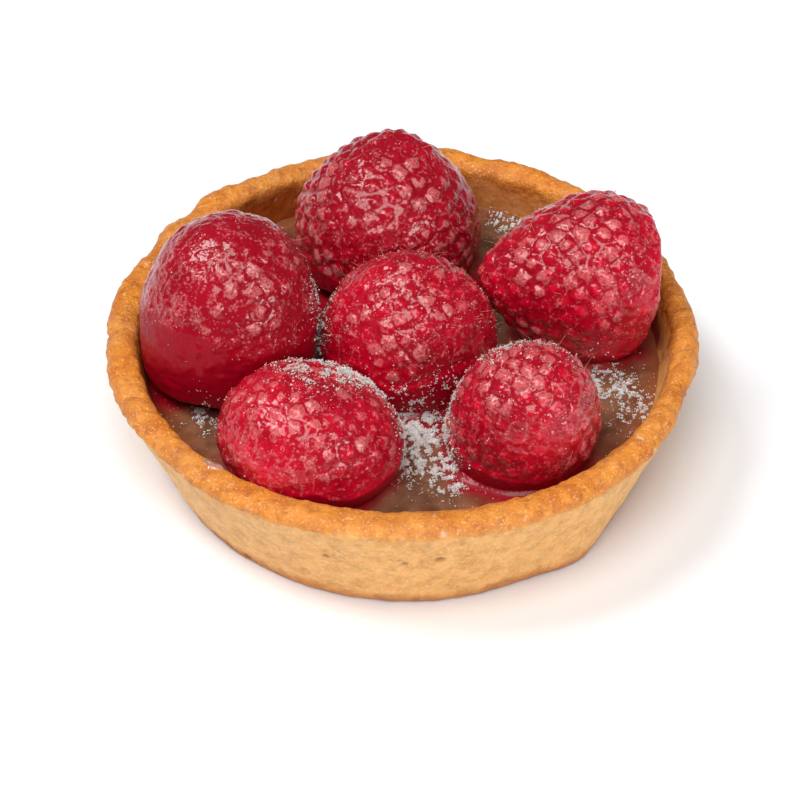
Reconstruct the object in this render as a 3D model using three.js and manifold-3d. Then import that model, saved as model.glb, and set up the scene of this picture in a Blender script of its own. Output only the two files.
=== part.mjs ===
// A raspberry tartlet: a round shortcrust case with flared sides, filled with glazed cream to a little
// under its rim, with six whole raspberries standing or lying in the filling.
// Millimetres, +Z up. The origin is on the table, under the middle of the tart.

import * as THREE from 'three';
import { ConvexHull } from 'three/addons/math/ConvexHull.js';
import { mergeVertices } from 'three/addons/utils/BufferGeometryUtils.js';
import Module from 'manifold-3d';

const wasm = await Module();
wasm.setup();

// Case
const baseRadius = 31.3;
const baseRounding = 1.1;
const lipRadius = 37.5;
const lipOverhang = 0.6;
const lipHeight = 16.2;
const rimHeight = 17.85;
const rimWidth = 3.7;
const innerSlope = 0.37;
const floorThickness = 4;
const floorRounding = 1.5;
const caseSectors = 88;
const wallBands = 5;
const rimSteps = 7;

// Where the case leaves a true circle: the angle from +X, the spread in degrees, and how far the rim
// and the foot of the wall stand out there.
const bulges = [
  { angle: 172, spread: 14, rim: 0.75, foot: 0 },
  { angle: 197, spread: 11, rim: 0.5, foot: 0 },
  { angle: 155, spread: 6, rim: -0.5, foot: 0 },
  { angle: 146, spread: 3, rim: 0.5, foot: 0 },
  { angle: 95, spread: 30, rim: 0.4, foot: 0 },
  { angle: 20, spread: 8, rim: -0.7, foot: 0 },
  { angle: -18, spread: 9, rim: -0.65, foot: 0 },
  { angle: -48, spread: 9, rim: 0.1, foot: 1.4 },
  { angle: -120, spread: 28, rim: 0, foot: -0.35 },
];
const crumbSize = 3.4;
const rimCrumbs = 0.42;
const wallCrumbs = 0.2;

// Filling
const fillingLevel = 12.2;
const fillingWaves = 0.3;
const fillingSectors = 48;
const pocketSectors = 24;
const gap = 0.3;

// Raspberries. Each one has the middle of its underside at x, y, z. It is width across, depth from
// front to back and height tall, and it leans by lean degrees toward the direction angle. A low tip
// number makes a pointed berry and a high one a blunt berry. The shoulder is where it is widest.
const raspberries = {
  left: { x: -22.2, y: -1.6, z: 12.2, width: 22, depth: 19.8, height: 22.2, lean: 17, angle: 70, tip: 2.3 },
  back: {
    x: -2.3, y: 19.5, z: 11, width: 24.2, depth: 21.8, height: 20.7, lean: 21, angle: 72, tip: 1.35,
  },
  right: {
    x: 22.1, y: 7, z: 13.1, width: 23.6, depth: 21.2, height: 20.5, lean: 76, angle: -166, tip: 1.47,
    shoulder: 0.24, taper: 1.55, foot: 0.88,
  },
  centre: {
    x: 0.5, y: -1.3, z: 11.7, width: 22, depth: 19.8, height: 17.8, lean: 10, angle: 61, tip: 1.35,
  },
  front_left: {
    x: -11.7, y: -19.5, z: 12, width: 22.7, depth: 20.4, height: 13.8, lean: 20, angle: 45, tip: 2.2,
  },
  front_right: {
    x: 14.6, y: -17.2, z: 10.5, width: 18.5, depth: 16.7, height: 18.9, lean: 16, angle: -45, tip: 2.2,
  },
};
const pivotHeight = 0.35;
const drupeletWidth = 3.6;
const hexagonArea = Math.sqrt(3) / 2;
const drupeletRise = 0.8;
const drupeletJitter = 0.16;
const roundedShare = 0.25;
const ringReach = 0.62;
const ringDrop = 0.25;

const materials = {
  crust: new THREE.MeshStandardMaterial({ color: '#d9a566', roughness: 0.85, metalness: 0 }),
  filling: new THREE.MeshStandardMaterial({ color: '#8c7058', roughness: 0.2, metalness: 0 }),
  raspberry: new THREE.MeshStandardMaterial({ color: '#a5142a', roughness: 0.25, metalness: 0 }),
};

// A repeatable number from -1 to 1 for a whole-number place.
function scatter(i, j, k = 0) {
  const wave = Math.sin(i * 127.1 + j * 311.7 + k * 74.7) * 43758.5453;
  return 2 * (wave - Math.floor(wave)) - 1;
}

// Smooth bumps of the given size in space, from -1 to 1.
function crumbs(point, size) {
  const cell = point.clone().divideScalar(size);
  const low = cell.clone().floor();
  const part = cell.sub(low);
  const ease = (t) => t * t * (3 - 2 * t);
  let sum = 0;
  for (const [i, j, k] of [0, 1, 2, 3, 4, 5, 6, 7].map((n) => [n & 1, (n >> 1) & 1, n >> 2])) {
    const weight = ease(i ? part.x : 1 - part.x) * ease(j ? part.y : 1 - part.y)
      * ease(k ? part.z : 1 - part.z);
    sum += weight * scatter(low.x + i, low.y + j, low.z + k);
  }
  return sum;
}

// How far the case stands out at an angle, at a height from 0 at its foot to 1 at its rim.
function bulgeAt(angle, rise) {
  let out = 0;
  for (const bulge of bulges) {
    const away = THREE.MathUtils.euclideanModulo(angle - bulge.angle + 180, 360) - 180;
    const amount = THREE.MathUtils.lerp(bulge.foot, bulge.rim, rise);
    out += amount * Math.exp(-((away / bulge.spread) ** 2));
  }
  return out;
}

// A closed solid turned about the Z axis. Its profile is a list of [radius, height] that starts and
// ends on the axis.
function turned(profile, sectors) {
  const points = profile.map(([radius, height]) => new THREE.Vector2(radius, height));
  const lathe = new THREE.LatheGeometry(points, sectors).rotateX(Math.PI / 2);
  lathe.deleteAttribute('normal');
  lathe.deleteAttribute('uv');
  return toGeometry(toSolid(mergeVertices(lathe, 1e-3)));
}

function toSolid(geometry) {
  return new wasm.Manifold(new wasm.Mesh({
    numProp: 3,
    vertProperties: new Float32Array(geometry.attributes.position.array),
    triVerts: new Uint32Array(geometry.index.array),
  }));
}

function toGeometry(solid) {
  const { vertProperties, triVerts } = solid.getMesh();
  const geometry = new THREE.BufferGeometry();
  geometry.setAttribute('position', new THREE.BufferAttribute(vertProperties, 3));
  geometry.setIndex(new THREE.BufferAttribute(triVerts, 1));
  return geometry;
}

// Moves every vertex by a function that changes the point that it is given.
function shaped(geometry, move) {
  const position = geometry.attributes.position;
  const point = new THREE.Vector3();
  for (let i = 0; i < position.count; i++) {
    move(point.fromBufferAttribute(position, i));
    position.setXYZ(i, point.x, point.y, point.z);
  }
  return geometry;
}

function innerRadius(height) {
  return lipRadius - rimWidth - innerSlope * (lipHeight - height);
}

function caseProfile() {
  const wallTop = lipHeight - 0.8;
  const wallLean = (lipRadius - lipOverhang - baseRadius) / (wallTop - baseRounding);
  const profile = [[0, 0], [baseRadius - 1.6 * baseRounding, 0], [baseRadius - 0.3, 0.35 * baseRounding]];
  for (let i = 0; i <= wallBands; i++) {
    const height = baseRounding + (i / wallBands) * (wallTop - baseRounding);
    profile.push([baseRadius + wallLean * (height - baseRounding), height]);
  }
  for (let i = 0; i <= rimSteps; i++) {
    const turn = (i / rimSteps) * Math.PI;
    const radius = lipRadius - rimWidth / 2 + (rimWidth / 2) * Math.cos(turn);
    profile.push([radius, lipHeight + (rimHeight - lipHeight) * Math.sin(turn)]);
  }
  const corner = floorThickness + floorRounding;
  profile.push([innerRadius(corner), corner]);
  profile.push([innerRadius(floorThickness) - floorRounding, floorThickness], [0, floorThickness]);
  return profile;
}

function crustGeometry() {
  return shaped(turned(caseProfile(), caseSectors), (point) => {
    const radius = Math.hypot(point.x, point.y);
    const rise = THREE.MathUtils.clamp(point.z / lipHeight, 0, 1);
    const beyond = radius - innerRadius(point.z);
    const outside = THREE.MathUtils.smoothstep(beyond, 0.2, 1.5);
    if (point.z < 0.1 || outside === 0) return;
    const angle = THREE.MathUtils.radToDeg(Math.atan2(point.y, point.x));
    const grain = crumbs(point, crumbSize) * THREE.MathUtils.lerp(wallCrumbs, rimCrumbs, rise ** 4);
    const scale = 1 + ((bulgeAt(angle, rise) + grain) * outside) / radius;
    point.x *= scale;
    point.y *= scale;
    if (point.z > lipHeight) point.z += crumbs(point, crumbSize) * rimCrumbs * outside;
  });
}

// The outline of a raspberry from its tip to the middle of its underside, as [radius, height] with
// both as fractions, close together all along.
function raspberryOutline({ shoulder = 0.36, taper = 2, foot = 0.84, tip }) {
  const steps = 60;
  const outline = [];
  for (let i = 0; i <= steps; i++) {
    const height = Math.cos((i / steps) * (Math.PI / 2));
    const above = Math.max(0, (height - shoulder) / (1 - shoulder));
    const below = Math.max(0, (shoulder - height) / shoulder);
    outline.push([(1 - above ** taper) ** (1 / tip) * (1 - (1 - foot) * below ** 2), height]);
  }
  for (let i = 1; i <= 8; i++) {
    outline.push([foot * (1 - i / 8), 0]);
  }
  return outline;
}

// The raspberry's surface, as a function of a direction on the unit sphere, that keeps equal areas
// equal. It gives the point about the berry's pivot. The second value is the whole area.
function raspberrySurface(berry) {
  const outline = raspberryOutline(berry).map(([r, h]) => [r * berry.width / 2, h * berry.height]);
  const areas = [0];
  for (let i = 1; i < outline.length; i++) {
    const [radius, height] = outline[i];
    const [lastRadius, lastHeight] = outline[i - 1];
    const slant = Math.hypot(radius - lastRadius, height - lastHeight);
    areas.push(areas[i - 1] + Math.PI * (radius + lastRadius) * slant);
  }
  const total = areas.at(-1);
  const pointAt = (direction) => {
    const area = THREE.MathUtils.clamp((1 - direction.z) / 2, 0, 1) * total;
    const i = Math.max(1, areas.findIndex((value) => value >= area - 1e-9));
    const part = (area - areas[i - 1]) / (areas[i] - areas[i - 1]);
    const radius = THREE.MathUtils.lerp(outline[i - 1][0], outline[i][0], part);
    const height = THREE.MathUtils.lerp(outline[i - 1][1], outline[i][1], part);
    const angle = Math.atan2(direction.y, direction.x);
    return new THREE.Vector3(
      radius * Math.cos(angle),
      radius * Math.sin(angle) * (berry.depth / berry.width),
      height - pivotHeight * berry.height,
    );
  };
  return [pointAt, total];
}

// The middles of the drupelets, on the unit sphere: an uneven spiral from the tip to the underside.
function drupeletDirections(count, seed) {
  const turn = Math.PI * (3 - Math.sqrt(5));
  return Array.from({ length: count }, (_, i) => {
    const z = 1 - (2 * i + 1) / count;
    const angle = i * turn + seed;
    const direction = new THREE.Vector3(Math.cos(angle), Math.sin(angle), 0);
    direction.multiplyScalar(Math.sqrt(1 - z * z)).setZ(z);
    const jitter = new THREE.Vector3(scatter(i, 1, seed), scatter(i, 2, seed), scatter(i, 3, seed));
    const spacing = Math.sqrt((4 * Math.PI) / count);
    return direction.addScaledVector(jitter, drupeletJitter * spacing).normalize();
  });
}

// The cells of the drupelets: the triangles between neighbouring middles give the low corners, and
// rings lists the corners of each cell, anticlockwise.
function drupeletCells(directions) {
  const corners = [];
  const around = directions.map(() => new Map());
  for (const face of new ConvexHull().setFromPoints(directions).faces) {
    const corner = corners.push(face.normal.clone()) - 1;
    const ends = [0, 1, 2].map((i) => directions.indexOf(face.getEdge(i).head().point));
    ends.forEach((end, i) => {
      around[end].set(ends[(i + 1) % 3], { corner, next: ends[(i + 2) % 3] });
    });
  }
  const rings = around.map((sides) => {
    const ring = [];
    let [neighbour] = sides.keys();
    while (ring.length < sides.size) {
      const { corner, next } = sides.get(neighbour);
      ring.push(corner);
      neighbour = next;
    }
    return ring;
  });
  return { corners, rings };
}

function raspberryGeometry(berry, seed) {
  const [pointAt, area] = raspberrySurface(berry);
  const count = Math.round(area / (drupeletWidth ** 2 * hexagonArea));
  const directions = drupeletDirections(count, seed);
  const { corners, rings } = drupeletCells(directions);
  const vertices = [];
  const triangles = [];
  const add = (direction, drop) => {
    const point = pointAt(direction);
    return vertices.push(point.setLength(point.length() - drop)) - 1;
  };
  const low = corners.map((corner) => add(corner, drupeletRise));
  directions.forEach((middle, n) => {
    const top = add(middle, 0);
    const rounded = (1 - middle.z) / 2 < roundedShare;
    const ring = rings[n].map((corner) => low[corner]);
    const within = (corner) => middle.clone().lerp(corners[corner], ringReach).normalize();
    const inner = rounded
      ? rings[n].map((corner) => add(within(corner), ringDrop * drupeletRise))
      : ring;
    ring.forEach((_, i) => {
      const next = (i + 1) % ring.length;
      triangles.push(top, inner[i], inner[next]);
      if (rounded) triangles.push(inner[i], ring[i], ring[next], inner[i], ring[next], inner[next]);
    });
  });
  const geometry = new THREE.BufferGeometry();
  const numbers = vertices.flatMap((vertex) => vertex.toArray());
  geometry.setAttribute('position', new THREE.Float32BufferAttribute(numbers, 3));
  geometry.setIndex(triangles);
  return geometry;
}

// Stands an object that is built about a raspberry's pivot where the berry lies.
function place(object, berry) {
  const direction = THREE.MathUtils.degToRad(berry.angle);
  const axis = new THREE.Vector3(-Math.sin(direction), Math.cos(direction), 0);
  object.position.set(berry.x, berry.y, berry.z + pivotHeight * berry.height);
  object.quaternion.setFromAxisAngle(axis, THREE.MathUtils.degToRad(berry.lean));
  object.updateMatrix();
  return object;
}

// The hollow that a raspberry presses into the filling: its outline, grown by the gap.
function pocket(berry) {
  const outline = raspberryOutline(berry).filter((_, i) => i % 4 === 0);
  const widen = 1 / Math.cos(Math.PI / pocketSectors);
  const profile = outline.reverse().map(([radius, height]) => [
    radius > 0 ? (radius * (berry.width / 2) + gap) * widen : 0,
    (height - pivotHeight) * berry.height + (height > pivotHeight ? gap : -gap),
  ]);
  const squash = (berry.depth + 2 * gap) / (berry.width + 2 * gap);
  const geometry = turned(profile, pocketSectors).scale(1, squash, 1);
  return toSolid(geometry.applyMatrix4(place(new THREE.Object3D(), berry).matrix));
}

function fillingGeometry() {
  const bottom = floorThickness + gap;
  const corner = floorThickness + floorRounding;
  const edge = innerRadius(fillingLevel) - gap;
  const profile = [[0, bottom], [innerRadius(bottom) - floorRounding - gap, bottom]];
  profile.push([innerRadius(corner) - 1.5 * gap, corner + gap], [edge, fillingLevel]);
  for (let i = 5; i >= 0; i--) {
    profile.push([(edge * i) / 6, fillingLevel]);
  }
  const disc = shaped(turned(profile, fillingSectors), (point) => {
    const inside = Math.hypot(point.x, point.y) < edge - 1;
    if (point.z > fillingLevel - 0.01 && inside) point.z += fillingWaves * crumbs(point, 9);
  });
  const pockets = Object.values(raspberries).map(pocket);
  return toGeometry(pockets.reduce((rest, hollow) => rest.subtract(hollow), toSolid(disc)));
}

const tart = new THREE.Group();

function addPiece(name, geometry, material) {
  const mesh = new THREE.Mesh(geometry, material);
  mesh.name = name;
  tart.add(mesh);
  return mesh;
}

addPiece('crust', crustGeometry(), materials.crust);
addPiece('filling', fillingGeometry(), materials.filling);
Object.entries(raspberries).forEach(([name, berry], seed) => {
  place(addPiece(`raspberry_${name}`, raspberryGeometry(berry, seed), materials.raspberry), berry);
});

// The tart stands with the middle of its box over the origin.
const middle = new THREE.Box3().setFromObject(tart, true).getCenter(new THREE.Vector3());
tart.position.set(-middle.x, -middle.y, 0);

export default tart;
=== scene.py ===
# A raspberry tartlet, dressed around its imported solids: a baked shortcrust case, cream under a clear
# glaze, six glazed raspberries, icing sugar, fine fruit hairs and two drops of glaze on the rim.
# Sizes are in millimetres until a mesh is made, and +Z is up.

import math

import bmesh
import bpy
import numpy as np
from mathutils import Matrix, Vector


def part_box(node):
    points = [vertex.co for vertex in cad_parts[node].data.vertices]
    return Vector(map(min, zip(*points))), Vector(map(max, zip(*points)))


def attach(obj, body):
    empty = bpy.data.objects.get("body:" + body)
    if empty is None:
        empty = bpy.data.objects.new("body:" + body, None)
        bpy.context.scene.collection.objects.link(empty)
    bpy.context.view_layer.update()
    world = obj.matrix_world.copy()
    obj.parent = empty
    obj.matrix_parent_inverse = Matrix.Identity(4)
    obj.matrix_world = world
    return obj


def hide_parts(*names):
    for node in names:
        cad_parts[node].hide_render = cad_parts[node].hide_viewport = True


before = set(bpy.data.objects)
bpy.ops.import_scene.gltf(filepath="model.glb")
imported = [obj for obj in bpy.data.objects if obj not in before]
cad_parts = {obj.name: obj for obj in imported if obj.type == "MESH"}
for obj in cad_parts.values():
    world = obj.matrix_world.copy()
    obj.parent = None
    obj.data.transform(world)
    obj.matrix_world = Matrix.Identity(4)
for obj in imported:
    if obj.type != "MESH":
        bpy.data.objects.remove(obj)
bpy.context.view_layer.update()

MM = 0.001
BODY = "root"

# The middle of the filling's box is the axis that the case is turned about.
AXIS = (np.array(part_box("filling")).mean(axis=0) * [1, 1, 0]) / MM

# Case: its foot, lip and rim as radius and height, and how much the inner wall leans. Its outline starts
# and ends almost at the axis, and has finer steps where it shows than where it is hidden.
BASE_RADIUS = 31.3
BASE_ROUNDING = 1.1
LIP_RADIUS = 37.5
LIP_OVERHANG = 0.6
LIP_UNDERSIDE = 0.8
LIP_HEIGHT = 16.2
RIM_HEIGHT = 17.85
RIM_WIDTH = 3.7
INNER_SLOPE = 0.37
FLOOR_THICKNESS = 4.0
FLOOR_ROUNDING = 1.5
AT_AXIS = 0.02
CASE_SECTORS = 680
CASE_STEP = 0.28
HIDDEN_STEP = 2.5

# The case's crumbly surface: wide bumps and how high they are on the rim and the wall, then fine grit
# as how high and how wide, the depth of the small holes, how far all of it is set in, and how far down
# from the lip the rim's grit fades.
CRUMB_SIZE = 3.4
RIM_CRUMBS = 0.25
WALL_CRUMBS = 0.12
CASE_GRIT = ((0.1, 1.7), (0.12, 0.8))
PIT_DEPTH = 0.35
INSET = 0.08
RIM_FADE = 3.2

# Browning fades in between two heights. At the front both are higher, and there the rim is also wider
# inward and higher than elsewhere. Painted shade darkens the inner wall most at one angle, the back
# left. The foot's own browning ends between two heights.
BROWN_FROM = LIP_HEIGHT - 2
BROWN_TO = LIP_HEIGHT + 0.2
FRONT_ANGLE = 270
FRONT_SPREAD = 45
FRONT_RIM_INWARD = 1.0
FRONT_RIM_LIFT = 0.3
FRONT_BROWN_RAISE = (1.8, 1.1)
INNER_SHADE_ANGLE = 140
FOOT_BROWN = (0.6, 2.9)

# Where the case leaves a true circle: the angle from +X, the spread in degrees, and how far the rim and
# the foot of the wall stand out there.
BULGES = [
    (172, 14, 0.75, 0), (197, 11, 0.5, 0), (155, 6, -0.5, 0), (146, 3, 0.5, 0), (95, 30, 0.4, 0),
    (20, 8, -0.7, 0), (-18, 9, -0.65, 0), (-48, 9, 0.1, 1.4), (-120, 28, 0, -0.35),
    (-93, 48, 0, 0.65), (133, 4, 0.9, 0),
]

# Small holes in the front of the wall: angle, height and size. Others lie anywhere else on it.
FRONT_PITS = [
    (-83, 11.1, 0.95), (-90, 10.3, 0.7), (-106, 10.2, 0.75), (-129, 1.0, 1.0), (-100, 5.5, 0.5),
    (-76, 6.5, 0.55), (-118, 8.0, 0.5), (-62, 9.5, 0.5),
]
OTHER_PITS = 24

# Filling: its level, its waves as how high and how wide, how high it creeps up the berries and the
# wall and how unevenly, how far that reaches, and how pools of juice stand up at a berry and the wall.
# Its edge is drawn at one height and runs a little into the wall, and its underside is off the floor.
LEVEL = 12.2
FILLING_WAVES = ((0.3, 9), (0.06, 1.1))
BERRY_CREEP, BERRY_CREEP_UNEVEN = 0.8, 0.3
WALL_CREEP, WALL_CREEP_UNEVEN = 0.25, 0.2
CREEP_REACH = 0.4
POOL_RISE = 0.2
POOL_RISE_AT_WALL = 0.25
FILLING_EDGE = LEVEL + 0.9
INTO_WALL = 0.15
FLOOR_GAP = 0.3
FILLING_SECTORS = 360
FILLING_RINGS = 140

# Where red juice and glaze gather: x and y from the axis, and how far they spread.
POOLS = [
    (-33, -4, 5), (-11, 9, 6), (-13, -9.5, 4), (6, -8.5, 4.5), (32, 6, 5.5), (11.5, -1, 4),
    (-30, -6.5, 3), (1, -12, 4), (-13, -30, 6), (15, -27, 6), (7, -23, 3), (10, 14, 3),
]

# Icing sugar: how many crystals lie in heaps and in the light dusting, and the heaps' x, y, z, spread
# and thickness. Real crystals are under 0.1 mm, and these are drawn about 0.15 mm across to show. Then
# about half the size of a crystal alone and in a heap, how far each strays, the clumps as weight and
# size, and the height above which sugar lies.
HEAPED_GRAINS = 42000
DUSTING_GRAINS = 2200
SUGAR_HEAPS = [
    (1.2, -9.2, 12.5, 2.4, 1.6), (2.7, -18.0, 12.4, 2.9, 1.9), (5.1, -23.4, 12.4, 1.6, 1.1),
    (4.9, -20.0, 12.8, 1.6, 0.8), (-0.6, -13.7, 13.4, 1.5, 0.9), (0.2, -18.4, 13.0, 1.4, 0.7),
    (1.6, -13.2, 12.4, 2.6, 2.0), (4.4, -6.6, 14.0, 2.2, 0.5), (6.3, -12.8, 17.5, 2.0, 1.0),
    (25.3, -4.7, 12.3, 2.6, 0.65), (28.5, -9.0, 12.3, 3.0, 0.25), (-24.7, -10.4, 12.3, 2.0, 0.35),
    (-20.0, -8.5, 15.0, 2.0, 0.35), (-15.5, -5.2, 17.0, 1.8, 0.45), (-12.0, -1.6, 20.0, 2.6, 0.22),
    (-9.4, -2.0, 15.0, 1.5, 0.6), (10.8, 6.5, 16.0, 1.8, 0.4), (-4.4, -14.4, 21.0, 1.9, 0.4),
    (-10.5, -16.0, 24.5, 3.4, 0.2), (-7.4, -14.6, 23.4, 2.2, 0.3), (14.0, -13.6, 28.6, 4.0, 0.05),
    (12.9, 27.6, 12.5, 1.3, 1.4), (15.4, 26.8, 12.5, 1.3, 1.4),
]
GRAIN_SIZES = (0.07, 0.068)
GRAIN_STRAYS = (0.02, 0.1)
SUGAR_CLUMPS = ((0.4, 1.6), (0.9, 0.6), (0.9, 0.32))
SUGAR_FROM = LEVEL - 0.4

# Raspberries: the middle of the underside, the size across, front to back and up, the lean in degrees
# toward an angle, and how blunt the tip is. Strings are the side that the glaze ran down and how much,
# glaze is how far it fills the valleys, band is how high it stands round the foot, dust is how much
# sugar lies on the fruit, then how dark the fruit is, partly riper fruit and partly painted shade, and
# last how many drupelets show a painted pale highlight on top and how large. Shoulder is where a berry
# is widest, taper how it narrows above, and foot how wide its underside is, for a berry of another form
# than the usual.
USUAL_FORM = dict(shoulder=0.36, taper=2, foot=0.84)
BERRIES = {
    "left": dict(
        at=(-22.2, -1.6, 12.2), size=(22, 19.8, 22.2), lean=17, angle=70, tip=2.3,
        strings=(205, 1.0), glaze=0.6, band=13, dust=0.5, ripe=0.6, painted_tops=0.4,
    ),
    "back": dict(
        at=(-2.3, 19.5, 11), size=(24.2, 21.8, 20.7), lean=21, angle=72, tip=1.35,
        strings=(0, 0.3), glaze=0.42, band=5, dust=0.25, ripe=0.45, painted_tops=0.5,
    ),
    "right": dict(
        at=(22.1, 7, 13.1), size=(23.6, 21.2, 20.5), lean=76, angle=-166, tip=1.47,
        strings=(-20, 0.9), glaze=0.4, band=2.5, dust=0.3, ripe=0, painted_tops=0.8,
        shoulder=0.24, taper=1.55, foot=0.88,
    ),
    "centre": dict(
        at=(0.5, -1.3, 11.7), size=(22, 19.8, 17.8), lean=10, angle=61, tip=1.35,
        strings=(200, 0.3), glaze=0.62, band=7, dust=1.4, ripe=0.1, painted_tops=0.45,
    ),
    "front_left": dict(
        at=(-11.7, -19.5, 12), size=(22.7, 20.4, 13.8), lean=20, angle=45, tip=2.2,
        strings=(215, 0.75), glaze=0.64, band=4.5, dust=1.0, ripe=0, painted_tops=0.4,
    ),
    "front_right": dict(
        at=(14.6, -17.2, 10.5), size=(18.5, 16.7, 18.9), lean=16, angle=-45, tip=2.2,
        strings=(-20, 0.6), glaze=0.4, band=4, dust=1.0, ripe=0, painted_tops=0.85,
    ),
}

# A berry leans about a point this share of its height up.
PIVOT = 0.35

# Drupelets: their width, how far each lies off its place as a share of that, their rise, and how much
# single ones differ. Then how high strings of set glaze, the skin's wrinkles and the edge of the glaze
# round the foot stand, bumps as how high and how wide, and how thick the glaze is over it all.
DRUPELET_WIDTH = 2.5
DRUPELET_JITTER = 0.2
DRUPELET_RISE = 0.55
DRUPELET_UNEVEN = 0.1
STRING_HEIGHT = 0.1
WRINKLE_HEIGHT = 0.06
BAND_EDGE_HEIGHT = 0.14
SKIN_BUMPS = ((0.05, 0.6), (0.06, 1.1), (0.14, 3.1))
GLAZE_SKIN = 0.2

# Hairs: how many on each berry in the order above, their lengths and thicknesses from least to most,
# how far they stray from upright and bend, and how high above the filling they start.
HAIRS = (14, 22, 30, 70, 16, 60)
HAIR_LENGTHS = (0.4, 1.2)
HAIR_THICKNESSES = (0.035, 0.06)
HAIR_STRAY = 0.55
HAIR_BEND = 0.5
HAIRS_ABOVE = 5

# Camera, matched to the photograph: the sensor's width, the image's width and the focal length in
# pixels, how far down it looks in degrees, its distance, and the point it looks at, from the axis.
SENSOR_WIDTH = 36
IMAGE_WIDTH = 800
FOCAL_PIXELS = 3481
LOOK_DOWN = 42.28
CAMERA_DISTANCE = 450
LOOK_AT = np.array([-0.58, 0, 5.42])


def scatter(i, j, k):
    """A repeatable number from -1 to 1 for a whole-number place."""
    wave = np.sin(i * 127.1 + j * 311.7 + k * 74.7) * 43758.5453
    return 2 * (wave - np.floor(wave)) - 1


def crumbs(points, size):
    """Smooth bumps of that size in space, from -1 to 1."""
    cell = points / size
    low = np.floor(cell)
    part = cell - low
    ease = part * part * (3 - 2 * part)
    total = 0
    for corner in np.ndindex(2, 2, 2):
        weight = np.prod(np.where(corner, ease, 1 - ease), axis=1)
        total = total + weight * scatter(*(low + corner).T)
    return total


def layered(points, layers):
    """The sum of crumbs, each layer given as how high and how wide."""
    return sum(height * crumbs(points, size) for height, size in layers)


def smooth(value, low, high):
    """0 below the low limit, 1 above the high one, and eased between them."""
    part = np.clip((value - low) / (high - low), 0, 1)
    return part * part * (3 - 2 * part)


def ring_faces(rings, sectors):
    """The quads between rings of the same number of points, each ring closed on itself."""
    i, j = np.meshgrid(np.arange(rings - 1), np.arange(sectors), indexing="ij")
    after = (j + 1) % sectors
    quads = [i * sectors + j, i * sectors + after, (i + 1) * sectors + after, (i + 1) * sectors + j]
    return np.stack(quads, axis=-1).reshape(-1, 4)


def make_piece(name, points, faces, material, slot, node=None, **values):
    """A smooth-shaded mesh from points in millimetres. Each value is a number for every point."""
    mesh = bpy.data.meshes.new(name)
    mesh.from_pydata(np.asarray(points) * MM, [], np.asarray(faces).tolist())
    mesh.validate()
    for key, numbers in values.items():
        layer = mesh.attributes.new(key, "FLOAT", "POINT")
        layer.data.foreach_set("value", np.asarray(numbers, np.float32))
    mesh.shade_smooth()
    mesh.materials.append(material)
    piece = bpy.data.objects.new(name, mesh)
    bpy.context.collection.objects.link(piece)
    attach(piece, BODY)
    if node:
        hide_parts(node)
    return piece


# Materials

def linear(colour):
    """An sRGB hex colour as linear red, green, blue and alpha."""
    channels = [int(colour[i:i + 2], 16) / 255 for i in (1, 3, 5)]
    return [c / 12.92 if c <= 0.04045 else ((c + 0.055) / 1.055) ** 2.4 for c in channels] + [1.0]


def per_metre(size):
    """The scale of a texture whose grain measures that many millimetres."""
    return 1 / (size * MM)


def add(tree, kind, settings=(), links=()):
    """Adds a node. Settings are for its properties or inputs, and links for its inputs, by name or
    by number."""
    node = tree.nodes.new(kind)
    for key, value in dict(settings).items():
        if isinstance(key, int) or key in node.inputs:
            node.inputs[key].default_value = value
        else:
            setattr(node, key, value)
    for key, socket in dict(links).items():
        tree.links.new(socket, node.inputs[key])
    return node


def new_material(name, **values):
    """A material with its tree, its surface shader and the object's own coordinates."""
    material = bpy.data.materials.new(name)
    material.use_nodes = True
    tree = material.node_tree
    surface = tree.nodes["Principled BSDF"]
    for key, value in values.items():
        surface.inputs[key.replace("_", " ")].default_value = value
    place = add(tree, "ShaderNodeTexCoord").outputs["Object"]
    return material, tree, surface, place


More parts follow.
